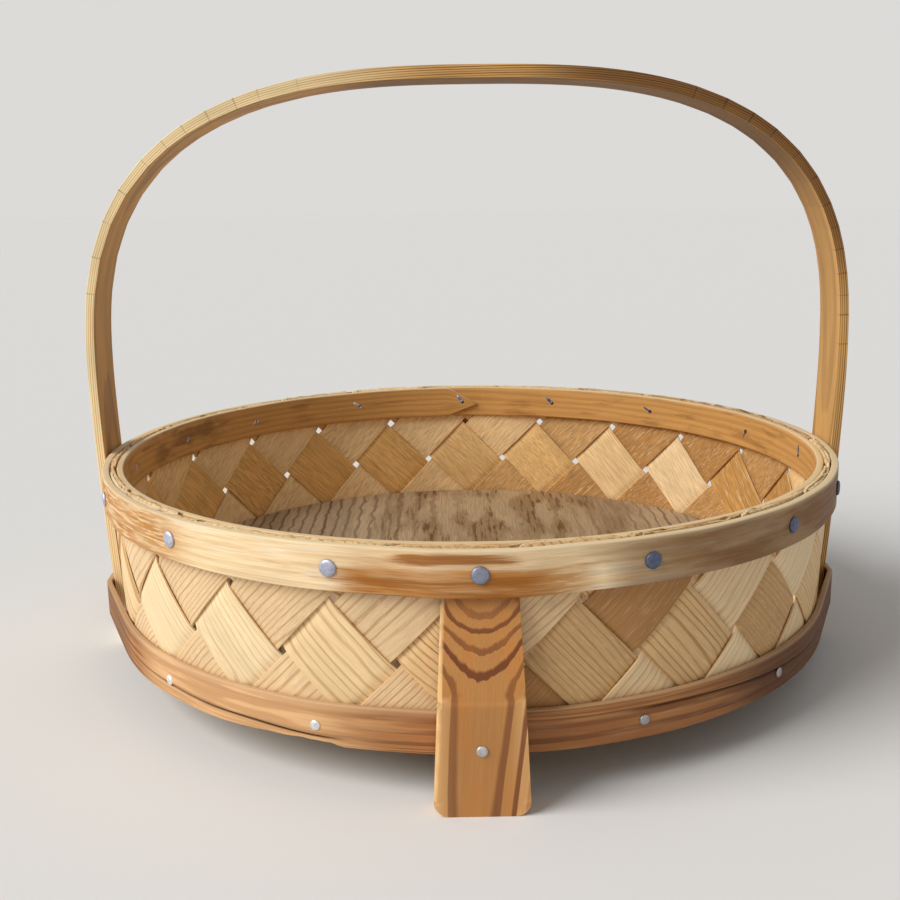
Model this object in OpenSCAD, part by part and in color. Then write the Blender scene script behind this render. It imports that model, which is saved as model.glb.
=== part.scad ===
// Round basket woven of broad wooden splints. Two hoops clamp the splints at the rim, a band and a flat
// board hold them at the base, two feet carry the front and the back, and the ends of the bent handle
// reach down to the table at the sides.
// Millimetres, +Z up. The origin is on the basket's axis at table height, the front foot is at -Y and
// the handle stands in the XZ plane. An azimuth is counted in degrees from the front towards +X.

/* [Wall] */
// Diameter outside the rim
rim_d = 300; // [280:1:320]
// Height of the rim's top edge above the table
rim_top = 84; // [80:0.5:90]
// Height of the splints' lower ends above the table
wall_base = 15.6; // [13:0.2:17]
// How much the wall's radius shrinks from the rim to its lower end
wall_lean = 2.5; // [0:0.1:4]
// Clearance between pieces that lie against each other
fit = 0.3; // [0.2:0.05:0.4]

/* [Splints] */
// Thickness of a splint
splint_t = 0.9; // [0.6:0.1:1.2]
// Gap between neighbouring splints
splint_gap = 2.7; // [2:0.1:4.5]
// Height of the upper row of openings in the weave
weave_row_z = 65; // [60:0.5:70]
// Azimuth of one opening of that row
weave_turn = -0.6; // [-8:0.2:8]
// Degrees that the hand-laid weave falls behind at the right of the front
weave_drift = 4.2; // [0:0.2:6]

/* [Rim hoops] */
// Thickness of the outer hoop
outer_hoop_t = 2.9; // [2:0.1:4]
// Height of the outer hoop
outer_hoop_h = 15.2; // [12:0.2:18]
// Thickness of the inner hoop
inner_hoop_t = 2.6; // [2:0.1:4]
// Height of the inner hoop
inner_hoop_h = 15.4; // [12:0.2:18]

/* [Base] */
// Thickness of the band
band_t = 2.2; // [1.6:0.1:3]
// Height of the band
band_h = 14.4; // [12:0.2:18]
// Thickness of the base board
board_t = 8; // [6:0.5:10]
// Height of the board's upper face above the table
board_top = 26.4; // [26:0.2:30]

/* [Handle] */
// Height of the handle's top above the table
handle_top = 236.5; // [200:0.5:270]
// Width of the handle
handle_w = 25; // [18:0.5:30]
// Thickness of the handle's legs
leg_t = 3.6; // [3:0.1:5]
// Thickness of the handle at its top
crown_t = 5.2; // [3.6:0.1:7]
// Height where the legs end and the arch begins
spring_z = 115; // [100:1:130]
// How far the legs' lower ends lie inside the arch's widest line
leg_tuck = 6.3; // [5:0.1:7]
// Power of the arch's oval at the left, 2 for an ellipse and more for a squarer shoulder
left_arch_power = 2.7; // [2:0.1:3.5]
// Power of the arch's oval at the right
right_arch_power = 2.9; // [2:0.1:3.5]

/* [Feet] */
// Width of a foot at the table
foot_w = 30; // [24:0.5:36]
// Width of a foot under the outer hoop
foot_top_w = 23.8; // [20:0.2:26]
// Thickness of a foot in front of the band
foot_t = 9.6; // [7:0.1:12]
// Thickness of the tongue that a foot has behind the outer hoop
tongue_t = 1.2; // [0.8:0.1:1.8]
// How far the tongue reaches up behind the hoop
tongue_reach = 12; // [10.5:0.1:13]
// Height where a foot's upper slope begins
slope_z = 38; // [34:0.5:46]
// Radius of a foot's lower corners
foot_corner_r = 5; // [2:0.5:8]

/* [Rivets and nails] */
// Diameter of a rivet's head
rivet_d = 5.6; // [4:0.1:7]
// Height of a rivet's head
rivet_h = 1.1; // [0.8:0.1:1.5]
// Height of the rivets above the outer hoop's lower edge
rivet_rise = 7.6; // [6:0.1:8.5]
// Diameter of a nail's head
nail_d = 3.6; // [3:0.1:5]
// Height of a nail's head
nail_h = 0.8; // [0.6:0.1:1.2]
// Height of the nails above the table
nail_z = 22; // [21.5:0.1:23]
// Diameter of the shanks
shank_d = 1.8; // [1.4:0.1:2.2]
// How deep a nail goes into the base board
nail_bite = 14; // [10:1:20]

/* [Hidden] */
// The weave has as many splints leaning right as leaning left.
splint_count = 22;
// Azimuths of the rim's rivets and of the base's nails, set by eye about 25 degrees apart, with one of
// each at both feet and at both legs of the handle
front = 0;
back = 180;
feet = [front, back];
sides = [90, 270];
rim_quarters = [[21, 46, 68], [111, 137, 160], [203, 228, 248], [292, 317, 342]];
base_quarters = [[21, 46], [134, 159], [201, 226], [313, 339]];
rim_fixings = [for (q = rim_quarters) each q];
base_fixings = [for (q = base_quarters) each q];
rim_holes = concat(feet, sides, rim_fixings);
base_holes = concat(feet, sides, base_fixings);

// Radii of the wall. The weave is two splints thick.
weave_t = 2 * splint_t + fit;
rim_r = rim_d / 2;
wall_top_r = rim_r - outer_hoop_t - fit - weave_t / 2;
function wall_r(z) = wall_top_r - wall_lean * (rim_top - z) / (rim_top - wall_base);
function wall_out(z) = wall_r(z) + weave_t / 2;
function wall_in(z) = wall_r(z) - weave_t / 2;

// Weave. Splints run at 45 degrees, so a row of crossings is half as high as their step is long.
weave_r = wall_r(weave_row_z);
turn_step = 360 / splint_count;
row_step = PI * weave_r / splint_count;
crossing_step = sqrt(2) * row_step;
splint_w = crossing_step - splint_gap;
layer_step = splint_t + fit;
first_crossing = -ceil((rim_top - weave_row_z) / row_step + 0.5);
last_crossing = ceil((weave_row_z - wall_base) / row_step + 0.5);
rising_right = -1;
rising_left = 1;
// The drift builds up slowly over the front and is made up in fewer degrees on the right.
drift_peak = 57;
drift_rise = 117;
drift_fall = 43;
function wrapped(azimuth) = (azimuth + 900) % 360 - 180;
function fade(share) = (1 + cos(180 * min(1, share))) / 2;
function drift_share(past_peak) = fade(abs(past_peak) / (past_peak < 0 ? drift_rise : drift_fall));
function weave_azimuth(even) = even - weave_drift * drift_share(wrapped(even - drift_peak));

// Rim and base levels
hoop_low = rim_top - outer_hoop_h;
rivet_z = hoop_low + rivet_rise;
band_low = wall_base;
band_top = band_low + band_h;
hoop_r = wall_out(rim_top) + fit;
band_r = wall_out(band_top) + fit;
board_r = wall_in(board_top - board_t) - fit;

// Foot: its back clears the band, and its tongue clears the weave behind the hoop.
tongue_back = wall_out(hoop_low + tongue_reach) + fit;
tongue_front = tongue_back + tongue_t;
foot_back_r = band_r + band_t + fit;
foot_face_r = foot_back_r + foot_t;

// Handle: the legs clear the outer hoop and lie inside the band.
leg_power = 1.5;
function leg_tuck_at(z) = leg_tuck * pow((spring_z - z) / spring_z, leg_power);
arch_half = rim_r + fit + leg_t + leg_tuck_at(hoop_low);
function leg_x(z) = arch_half - leg_tuck_at(z);
arch_rise = handle_top - spring_z;

// The hoop swells over the tongues and the band over the handle's legs, as far as their corners need.
hoop_swell = norm([tongue_front, foot_top_w / 2]) + fit - hoop_r;
band_swell = norm([leg_x(band_top), handle_w / 2]) + fit - band_r;
// A swell is full until a little past the corners.
swell_margin = 1.2;
hoop_swell_half = atan(foot_top_w / 2 / tongue_front) + swell_margin;
band_swell_half = atan(handle_w / 2 / leg_x(band_top)) + swell_margin;
ring_step = 2;

// Shank holes
hole_d = shank_d + 2 * fit;
clinch_d = 2 * shank_d;
clinch_h = 0.5;
past = 1;
$fn = 48;

fixed_names = ["base_board", "rim_outer_hoop", "rim_inner_hoop", "base_band", "handle", "foot_front",
    "foot_back", "rim_rivets", "foot_rivets", "handle_rivets", "base_nails", "foot_nails", "handle_nails"];
function splint_name(side, i) = str(side, "_splint_", i < 10 ? "0" : "", i);
right_names = [for (i = [1 : splint_count]) splint_name("right", i)];
left_names = [for (i = [1 : splint_count]) splint_name("left", i)];

// Points and pieces at an azimuth
function around(azimuth, r) = [r * sin(azimuth), -r * cos(azimuth)];
function apart(a, b) = abs(wrapped(a - b));

module at_azimuth(azimuth) {
    rotate([0, 0, azimuth])
        children();
}

// A rod from radius r1 out to radius r2 at height z
module radial_rod(d, r1, r2, z) {
    translate([0, -r1, z])
        rotate([90, 0, 0])
            cylinder(d = d, h = r2 - r1);
}

// Holes for shanks at the given azimuths, or only for those within reach degrees of a centre
module shank_holes(azimuths, z, r1, r2, centre = 0, reach = 180) {
    for (a = azimuths) {
        if (apart(a, centre) <= reach) {
            at_azimuth(a)
                radial_rod(hole_d, r1, r2, z);
        }
    }
}

// A strip drawn tight round the wall is raised within half degrees of a centre, and runs straight from
// there until it meets the round.
function taut_r(azimuth, r, height, centres, half) =
    let (
        free = acos(r / (r + height)),
        past_half = min([for (c = centres) max(0, apart(azimuth, c) - half)])
    )
    r / cos(max(0, free - past_half));

module taut_outline(r, height, centres, half) {
    polygon([
        for (a = [0 : ring_step : 360 - ring_step])
            around(a, taut_r(a, r, height, centres, half))
    ]);
}

module taut_ring(r, t, h, height, centres, half) {
    linear_extrude(height = h)
        difference() {
            taut_outline(r + t, height, centres, half);
            taut_outline(r, height, centres, half);
        }
}

// Flat round board with blind holes for the nails in its edge
module base_board() {
    color("#b59a72")
        difference() {
            translate([0, 0, board_top - board_t])
                cylinder(r = board_r, h = board_t, $fn = 180);
            shank_holes(base_holes, nail_z, board_r - nail_bite - past, board_r + past);
        }
}

module rim_outer_hoop() {
    color("#d9b57c")
        difference() {
            translate([0, 0, hoop_low])
                taut_ring(hoop_r, outer_hoop_t, outer_hoop_h, hoop_swell, feet, hoop_swell_half);
            shank_holes(rim_holes, rivet_z, hoop_r - past, hoop_r + hoop_swell + outer_hoop_t + past);
        }
}

// The inner hoop leans with the wall.
module rim_inner_hoop() {
    inner_low = rim_top - inner_hoop_h;
    low_r = wall_in(inner_low) - fit;
    top_r = wall_in(rim_top) - fit;
    color("#cf9a52")
        difference() {
            rotate_extrude($fn = 180)
                polygon([
                    [low_r - inner_hoop_t, inner_low],
                    [low_r, inner_low],
                    [top_r, rim_top],
                    [top_r - inner_hoop_t, rim_top]
                ]);
            shank_holes(rim_holes, rivet_z, low_r - inner_hoop_t - past, top_r + past);
        }
}

module base_band() {
    color("#9c6f4c")
        difference() {
            translate([0, 0, band_low])
                taut_ring(band_r, band_t, band_h, band_swell, sides, band_swell_half);
            shank_holes(base_holes, nail_z, band_r - past, band_r + band_swell + band_t + past);
        }
}

// A splint is a ribbon on the leaning wall. Along it, its middle line steps between the inner and the
// outer layer in the gaps between the splints that it crosses.
function layer_at(along, outer_first) =
    let (
        k = round(along / crossing_step),
        off = along - k * crossing_step,
        past_edge = max(0, abs(off) - splint_w / 2) / splint_gap,
        sign = (k % 2 == 0) == outer_first ? 1 : -1
    )
    sign * layer_step / 2 * (1 - 2 * past_edge);

function splint_point(i, lean, along, across, face) =
    let (
        z = weave_row_z + (across - along) / sqrt(2),
        arc = lean * (along + across) / sqrt(2),
        azimuth = weave_turn + (i - 0.5) * turn_step + arc / weave_r * 180 / PI,
        r = wall_r(z) + layer_at(along, lean == rising_right) + face * splint_t / 2
    )
    concat(around(weave_azimuth(azimuth), r), z);

// Rows of points lie at the middle and the edges of each crossing, three points wide on both faces.
splint_columns = [-0.5, 0, 0.5] * splint_w;
splint_rows = [
    for (k = [first_crossing : last_crossing], edge = splint_columns)
        k * crossing_step + edge
];

function quad(a, b, c, d) = [[a, b, c], [a, c, d]];
function flip(faces) = [for (f = faces) [f[2], f[1], f[0]]];

module ribbon(i, lean) {
    rows = len(splint_rows);
    cols = len(splint_columns);
    sheet = rows * cols;
    points = [
        for (face = [1, -1], along = splint_rows, across = splint_columns)
            splint_point(i, lean, along, across, face)
    ];
    outside = [
        for (r = [0 : rows - 2], c = [0 : cols - 2])
            let (p = r * cols + c) each quad(p, p + 1, p + cols + 1, p + cols)
    ];
    inside = [for (f = flip(outside)) [for (p = f) p + sheet]];
    long_edges = [
        for (r = [0 : rows - 2])
            let (p = r * cols, q = p + cols - 1)
                each concat(
                    quad(p, p + cols, p + cols + sheet, p + sheet),
                    quad(q, q + sheet, q + cols + sheet, q + cols)
                )
    ];
    ends = [
        for (c = [0 : cols - 2])
            let (p = c, q = (rows - 1) * cols + c)
                each concat(
                    quad(p, p + sheet, p + 1 + sheet, p + 1),
                    quad(q, q + 1, q + 1 + sheet, q + sheet)
                )
    ];
    faces = concat(outside, inside, long_edges, ends);
    polyhedron(points = points, faces = lean == rising_left ? faces : flip(faces));
}

// One splint, cut level at both ends, with holes where fixings pass through it
module splint(i, lean) {
    reach = (splint_w / sqrt(2) + splint_gap) / weave_r * 180 / PI;
    axis_azimuth = weave_turn + (i - 0.5) * turn_step;
    turn_per_fall = lean / weave_r * 180 / PI;
    color(lean == rising_right ? "#d9b88c" : "#e2bd76")
        difference() {
            intersection() {
                ribbon(i, lean);
                translate([-rim_d, -rim_d, wall_base])
                    cube([2 * rim_d, 2 * rim_d, rim_top - wall_base]);
            }
            for (row = [[rim_holes, rivet_z], [base_holes, nail_z]]) {
                z = row[1];
                centre = weave_azimuth(axis_azimuth + turn_per_fall * (weave_row_z - z));
                shank_holes(row[0], z, wall_in(z) - past, wall_out(z) + past, centre, reach);
            }
        }
}

// Handle: one strip bent by hand to a tall oval arch, squarer at the right and thicker at its crown than
// in its legs
crown_power = 4;
arch_turns = 40;
leg_steps = 12;
leg_outside = [for (k = [0 : leg_steps - 1]) let (z = spring_z * k / leg_steps) [leg_x(z), z]];
leg_inside = [for (p = leg_outside) p - [leg_t, 0]];
function arch_point(turn, power) = [
    arch_half * pow(cos(turn), 2 / power),
    arch_rise * pow(sin(turn), 2 / power)
];
function arch_normal(p, power) =
    let (
        n = [
            pow(p[0] / arch_half, power - 1) / arch_half,
            pow(p[1] / arch_rise, power - 1) / arch_rise
        ]
    )
    n / norm(n);
function strip_t(p) = leg_t + (crown_t - leg_t) * pow(p[1] / arch_rise, crown_power);
function half_arch(power) = [for (k = [0 : arch_turns]) arch_point(90 * k / arch_turns, power)];
function outside_line(power) =
    concat(leg_outside, [for (p = half_arch(power)) p + [0, spring_z]]);
function inside_line(power) =
    concat(leg_inside, [for (p = half_arch(power)) p + [0, spring_z] - strip_t(p) * arch_normal(p, power)]);
function reversed(list) = [for (k = [len(list) - 1 : -1 : 0]) list[k]];
function without_last(list) = [for (k = [0 : len(list) - 2]) list[k]];
function mirrored(list) = [for (p = list) [-p[0], p[1]]];

module handle() {
    color("#d8a860")
        difference() {
            translate([0, handle_w / 2, 0])
                rotate([90, 0, 0])
                    linear_extrude(height = handle_w)
                        polygon(concat(
                            outside_line(right_arch_power),
                            reversed(mirrored(without_last(outside_line(left_arch_power)))),
                            mirrored(inside_line(left_arch_power)),
                            reversed(without_last(inside_line(right_arch_power)))
                        ));
            for (a = sides, z = [rivet_z, nail_z]) {
                at_azimuth(a)
                    radial_rod(hole_d, leg_x(z) - 2 * leg_t, leg_x(z) + leg_t, z);
            }
        }
}

// Foot: a tapering board with a sloped upper face, thinned at its top to a tongue behind the hoop
module foot(azimuth) {
    tongue_top = hoop_low + tongue_reach;
    ledge_z = band_top + fit;
    color("#c98f4e")
        at_azimuth(azimuth)
            difference() {
                intersection() {
                    translate([-foot_w / 2, 0, 0])
                        rotate([90, 0, 90])
                            linear_extrude(height = foot_w)
                                polygon([
                                    [-foot_back_r, 0],
                                    [-foot_face_r, 0],
                                    [-foot_face_r, slope_z],
                                    [-tongue_front, hoop_low],
                                    [-tongue_front, tongue_top],
                                    [-tongue_back, tongue_top],
                                    [-tongue_back, ledge_z],
                                    [-foot_back_r, ledge_z]
                                ]);
                    rotate([90, 0, 0])
                        linear_extrude(height = 2 * rim_r)
                            foot_front_outline(tongue_top);
                }
                radial_rod(hole_d, tongue_back - past, tongue_front + past, rivet_z);
                radial_rod(hole_d, foot_back_r - past, foot_face_r + past, nail_z);
            }
}

module foot_front_outline(top) {
    difference() {
        polygon([
            [-foot_w / 2, 0],
            [foot_w / 2, 0],
            [foot_w / 2, foot_corner_r],
            [foot_top_w / 2, hoop_low],
            [foot_top_w / 2, top],
            [-foot_top_w / 2, top],
            [-foot_top_w / 2, hoop_low],
            [-foot_w / 2, foot_corner_r]
        ]);
        for (side = [-1, 1]) {
            translate([side * (foot_w / 2 - foot_corner_r), foot_corner_r])
                difference() {
                    translate([side > 0 ? 0 : -2 * foot_corner_r, -2 * foot_corner_r])
                        square(2 * foot_corner_r);
                    circle(r = foot_corner_r);
                }
        }
    }
}

module foot_front() {
    foot(front);
}

module foot_back() {
    foot(back);
}

// A rivet has a low domed head outside and a clinched tip inside the rim.
module rivet(azimuth, head_r) {
    inner_r = wall_in(rivet_z) - fit - inner_hoop_t;
    at_azimuth(azimuth) {
        domed_head(rivet_d, rivet_h, head_r, rivet_z);
        radial_rod(shank_d, inner_r - clinch_h, head_r + rivet_h / 2, rivet_z);
        radial_rod(clinch_d, inner_r - clinch_h, inner_r - clinch_gap(inner_r), rivet_z);
    }
}

// The clinched tip is flat and the hoop is hollow, so the tip's rim touches first.
function clinch_gap(r) = r - sqrt(r * r - clinch_d * clinch_d / 4);

module domed_head(d, h, r, z) {
    dome_r = (d * d / 4 + h * h) / (2 * h);
    translate([0, -r, z])
        rotate([90, 0, 0])
            intersection() {
                translate([0, 0, h - dome_r])
                    sphere(r = dome_r);
                cylinder(d = d, h = h);
            }
}

module nail(azimuth, head_r, tip_r) {
    at_azimuth(azimuth) {
        domed_head(nail_d, nail_h, head_r, nail_z);
        radial_rod(shank_d, tip_r, head_r + nail_h / 2, nail_z);
    }
}

module rim_rivets() {
    color("#8f9bb0")
        for (a = rim_fixings) {
            rivet(a, hoop_r + outer_hoop_t);
        }
}

module foot_rivets() {
    color("#8f9bb0")
        for (a = feet) {
            rivet(a, hoop_r + hoop_swell + outer_hoop_t);
        }
}

module handle_rivets() {
    color("#8f9bb0")
        for (a = sides) {
            rivet(a, leg_x(rivet_z + rivet_d / 2));
        }
}

module base_nails() {
    color("#c3c8d0")
        for (a = base_fixings) {
            nail(a, band_r + band_t, board_r - nail_bite);
        }
}

module foot_nails() {
    color("#c3c8d0")
        for (a = feet) {
            nail(a, foot_face_r, board_r - nail_bite);
        }
}

module handle_nails() {
    color("#c3c8d0")
        for (a = sides) {
            nail(a, band_r + band_swell + band_t, board_r - nail_bite);
        }
}

base_board();
rim_outer_hoop();
rim_inner_hoop();
base_band();
handle();
foot_front();
foot_back();
rim_rivets();
foot_rivets();
handle_rivets();
base_nails();
foot_nails();
handle_nails();
for (i = [1 : splint_count]) {
    splint(i, rising_right);
    splint(i, rising_left);
}
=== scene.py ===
import math
import random

import bmesh
import bpy
from mathutils import Matrix, Vector, noise


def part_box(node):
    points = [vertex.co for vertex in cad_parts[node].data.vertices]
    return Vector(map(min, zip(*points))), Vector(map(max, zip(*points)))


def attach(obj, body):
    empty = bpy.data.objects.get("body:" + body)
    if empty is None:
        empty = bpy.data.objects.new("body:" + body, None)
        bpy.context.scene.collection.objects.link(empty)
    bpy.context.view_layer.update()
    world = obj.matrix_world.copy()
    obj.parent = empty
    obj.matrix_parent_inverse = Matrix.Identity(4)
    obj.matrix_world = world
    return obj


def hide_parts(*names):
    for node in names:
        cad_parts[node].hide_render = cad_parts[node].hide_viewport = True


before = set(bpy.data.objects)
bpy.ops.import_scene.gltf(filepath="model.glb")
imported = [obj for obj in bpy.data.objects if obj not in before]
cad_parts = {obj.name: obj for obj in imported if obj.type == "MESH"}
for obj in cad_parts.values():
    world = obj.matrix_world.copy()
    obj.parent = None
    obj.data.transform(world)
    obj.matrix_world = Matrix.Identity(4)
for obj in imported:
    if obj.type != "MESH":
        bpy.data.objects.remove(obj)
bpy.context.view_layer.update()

# Base board
# One flat round pine board, sawn from a plank, greyed by use and eased at its edge. It lies inside the
# lower end of the woven wall and is held by the nails that come in through the base band.
mm = 0.001
board_low, board_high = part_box("base_board")
board_edge = 0.9 * mm
# The board was sawn from beside the middle of the log, so its rings open out to the right.
board_pith = Vector((15, 0, -70)) * mm
board_ring = 4.3 * mm
grain_relief = 0.35 * mm
wood_gloss = 0.18


def shade(red, green, blue):
    """A colour in 0 to 255 steps, as it looks, turned into the linear colour that shaders take."""
    def linear(level):
        share = level / 255
        return share / 12.92 if share <= 0.04045 else ((share + 0.055) / 1.055) ** 2.4
    return (linear(red), linear(green), linear(blue), 1.0)


def add(kind, sockets=(), tree=None, **settings):
    """Adds a node to a tree, or to the tree of what it is linked to, with its settings and input sockets."""
    sockets = dict(sockets)
    linked = {key: value for key, value in sockets.items() if isinstance(value, bpy.types.NodeSocket)}
    tree = tree or next(iter(linked.values())).id_data
    made = tree.nodes.new(kind)
    for key, value in settings.items():
        setattr(made, key, value)
    for key, value in sockets.items():
        if key in linked:
            tree.links.new(value, made.inputs[key])
        else:
            made.inputs[key].default_value = value
    return made


def calc(operation, *terms):
    return add("ShaderNodeMath", enumerate(terms), operation=operation).outputs[0]


def times(product, *factors):
    for factor in factors:
        product = calc("MULTIPLY", product, factor)
    return product


def scaled(value, factor, start):
    """A value times a factor, counted from a start."""
    return calc("MULTIPLY_ADD", value, factor, start)


def ease(value, start, end):
    """0 before the start and 1 past the end, with a soft step between them; the end may be the lower one."""
    sockets = {"Value": value, "From Min": start, "From Max": end}
    return add("ShaderNodeMapRange", sockets, interpolation_type="SMOOTHSTEP").outputs[0]


def blend(share, first, second, mode="MIX"):
    sockets = {0: share, 6: first, 7: second}
    return add("ShaderNodeMix", sockets, data_type="RGBA", blend_type=mode).outputs[2]


def tint(colour, share, strength, towards):
    """Blends a colour by a share and a strength towards another, which is given in 0 to 255 steps."""
    return blend(times(share, strength), colour, shade(*towards))


def toned(colour, light):
    """A colour made lighter or darker by a factor."""
    return blend(1.0, colour, light, "MULTIPLY")


def calc_vector(operation, first, second):
    return add("ShaderNodeVectorMath", {0: first, 1: second}, operation=operation).outputs[0]


def spots(place, size, detail=2.0):
    """Noise whose spots have the given size along, across and through the wood, in millimetres."""
    spread = calc_vector("MULTIPLY", place, [1 / (s * mm) for s in size])
    return add("ShaderNodeTexNoise", {"Vector": spread, "Scale": 1.0, "Detail": detail}).outputs["Fac"]


def streaks(log, length, width, start, end, detail=2.0):
    """Streaks along the grain, of some length and width, cut softly out of the noise from start to end."""
    return ease(spots(log, (length, width, width), detail), start, end)


# Every wooden piece notes on its points where they lay in the log: along its heart, across and outwards
# from it. This group turns that into growth rings, fibres and broad shades of the wood.
pine_grain = bpy.data.node_groups.new("pine_grain", "ShaderNodeTree")
for socket, kind in (("Log", "Vector"), ("Ring", "Float"), ("Wander", "Float"), ("Wave", "Float"),
                     ("Contrast", "Float"), ("Onset", "Float"), ("Early", "Color"), ("Late", "Color")):
    pine_grain.interface.new_socket(socket, in_out="INPUT", socket_type="NodeSocket" + kind)
for socket, kind in (("Color", "Color"), ("Height", "Float"), ("Late", "Float")):
    pine_grain.interface.new_socket(socket, in_out="OUTPUT", socket_type="NodeSocket" + kind)


def fill_pine_grain(tree):
    given = add("NodeGroupInput", tree=tree).outputs
    log = given["Log"]
    # The rings swing from side to side, slowly along the log and quicker across it.
    along = calc("DIVIDE", 1.0, given["Wave"])
    across = 1 / (9 * mm)
    scale = add("ShaderNodeCombineXYZ", {0: along, 1: across, 2: across}).outputs[0]
    waves = calc_vector("MULTIPLY", log, scale)
    swing = add("ShaderNodeTexNoise", {"Vector": waves, "Scale": 1.0, "Detail": 1.5}).outputs["Color"]
    swing = calc_vector("SUBTRACT", swing, (0.5, 0.5, 0.5))
    swing = calc_vector("MULTIPLY", swing, given["Wander"])
    place = add("ShaderNodeSeparateXYZ", {0: calc_vector("ADD", log, swing)}).outputs
    square = calc("ADD", times(place["Y"], place["Y"]), times(place["Z"], place["Z"]))
    rings = calc("DIVIDE", calc("SQRT", square), given["Ring"])
    year = calc("FLOOR", rings)
    season = calc("FRACT", rings)
    # The late wood darkens towards the end of a year and stops at once.
    darkest = scaled(given["Onset"], 0.4, 0.5)
    late = times(ease(season, given["Onset"], darkest), ease(season, 1.0, 0.94))
    luck = add("ShaderNodeTexWhiteNoise", {"W": year}, noise_dimensions="1D").outputs["Value"]
    late = times(late, scaled(luck, 0.5, 0.5))
    fibre = spots(log, (22, 0.45, 0.45), 3.0)
    field = spots(log, (60, 11, 11))
    colour = blend(times(late, given["Contrast"]), given["Early"], given["Late"])
    light = times(scaled(fibre, 0.30, 0.85), scaled(field, 0.34, 0.83))
    height = scaled(late, 0.45, times(fibre, 0.75))
    add("NodeGroupOutput", {"Color": toned(colour, light), "Height": height, "Late": late})


fill_pine_grain(pine_grain)


def new_finish(name):
    material = bpy.data.materials.new(name)
    material.use_nodes = True
    return material, material.node_tree


def new_wood(name):
    """A new wood finish, with the place in the log and the wear that are noted on the piece's points."""
    material, tree = new_finish(name)
    log = add("ShaderNodeAttribute", tree=tree, attribute_name="log").outputs["Vector"]
    noted = add("ShaderNodeAttribute", tree=tree, attribute_name="finish").outputs["Vector"]
    finish = add("ShaderNodeSeparateXYZ", {0: noted}).outputs
    return material, log, finish


def grain_of(log, ring, wander, wave, contrast, onset, early, late):
    sockets = {"Log": log, "Ring": ring, "Wander": wander, "Wave": wave, "Contrast": contrast,
               "Onset": onset, "Early": early, "Late": late}
    return add("ShaderNodeGroup", sockets, node_tree=pine_grain).outputs


def coat(colour, rough, height, bump, depth):
    """Joins a colour, a roughness and a relief of some depth to the finish's shader, and gives the shader."""
    tree = colour.id_data
    shader = tree.nodes["Principled BSDF"]
    relief = add("ShaderNodeBump", {"Height": height, "Strength": bump, "Distance": depth}).outputs[0]
    for socket, value in (("Base Color", colour), ("Roughness", rough), ("Normal", relief)):
        tree.links.new(value, shader.inputs[socket])
    return shader


def oil(colour, height, rough, bump, gloss=wood_gloss):
    """Wood with the grain's relief, a little smoother where it stands high."""
    shader = coat(colour, scaled(height, -0.18, rough), height, bump, grain_relief)
    shader.inputs["Specular IOR Level"].default_value = gloss


def note(bm, log, finish):
    """Notes on every point where it lay in the log and how it is finished."""
    log_layer = bm.verts.layers.float_vector.new("log")
    finish_layer = bm.verts.layers.float_vector.new("finish")
    for v in bm.verts:
        v[log_layer] = log(v.co)
        v[finish_layer] = finish(v.co)


def stand(name, data):
    """Puts a mesh, a lamp or a camera into the scene."""
    thing = bpy.data.objects.new(name, data)
    bpy.context.scene.collection.objects.link(thing)
    return thing


def stand_mesh(bm, name, material):
    mesh = bpy.data.meshes.new(name)
    bm.to_mesh(mesh)
    bm.free()
    mesh.materials.append(material)
    return stand(name, mesh)


def fit_piece(bm, node, material, kind="wood"):
    """Makes the finished mesh a piece that stands for the CAD node."""
    bmesh.ops.recalc_face_normals(bm, faces=bm.faces)
    for face in bm.faces:
        face.smooth = True
    piece = stand_mesh(bm, f"{node}.{kind}", material)
    piece.modifiers.new("even_shading", "WEIGHTED_NORMAL").keep_sharp = True
    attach(piece, "root")
    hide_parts(node)


def push(bm, face, shift, widen=1.0):
    """Draws a face out by a shift, widened or narrowed, and gives the face at the new end."""
    drawn = bmesh.ops.extrude_face_region(bm, geom=[face])["geom"]
    end = next(g for g in drawn if isinstance(g, bmesh.types.BMFace))
    bmesh.ops.translate(bm, vec=shift, verts=end.verts)
    bmesh.ops.scale(bm, vec=(widen, widen, 1), verts=end.verts,
                    space=Matrix.Translation(-end.calc_center_median()))
    return end


def round_edges(bm, edges, width, segments, clamp=False):
    bmesh.ops.bevel(bm, geom=edges, offset=width, affect="EDGES", segments=segments, profile=0.5,
                    material=-1, clamp_overlap=clamp)


def score(bm, place, direction, cut_off=False):
    """Cuts the mesh in a plane, and takes off what lies beyond it where that is asked for."""
    parts = bm.verts[:] + bm.edges[:] + bm.faces[:]
    bmesh.ops.bisect_plane(bm, geom=parts, plane_co=place, plane_no=direction, clear_outer=cut_off)


def limited(share):
    return min(1.0, max(0.0, share))


def board_finish():
    material, log, finish = new_wood("board_wood")
    lined = calc("SUBTRACT", 1.0, finish["Y"])
    grain = grain_of(log, board_ring, 3.4 * mm, 12 * mm, lined, 0.66,
                     shade(206, 180, 144), shade(108, 84, 64))
    # Broad greyed fields, most of them at the right, and rough short streaks all over
    fields = scaled(streaks(log, 90, 24, 0.40, 0.62), 0.35, times(finish["Z"], 0.5))
    colour = tint(grain["Color"], fields, 1.0, (150, 126, 98))
    rough = streaks(log, 12, 0.9, 0.32, 0.68, 3.0)
    colour = toned(colour, scaled(rough, -0.18, 1.08))
    # Browned in the middle, with stains that hold dark flecks
    stains = times(streaks(log, 46, 12, 0.45, 0.57, 3.0), finish["X"])
    brown = scaled(stains, 0.35, times(finish["X"], 0.38))
    colour = tint(colour, brown, 1.0, (144, 110, 68))
    flecks = times(streaks(log, 20, 2.0, 0.50, 0.62, 4.0), stains)
    colour = tint(colour, flecks, 0.75, (96, 66, 38))
    hollow = scaled(flecks, 0.6, times(rough, 0.6))
    oil(colour, calc("SUBTRACT", grain["Height"], hollow), 0.80, 0.55)
    return material


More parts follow.
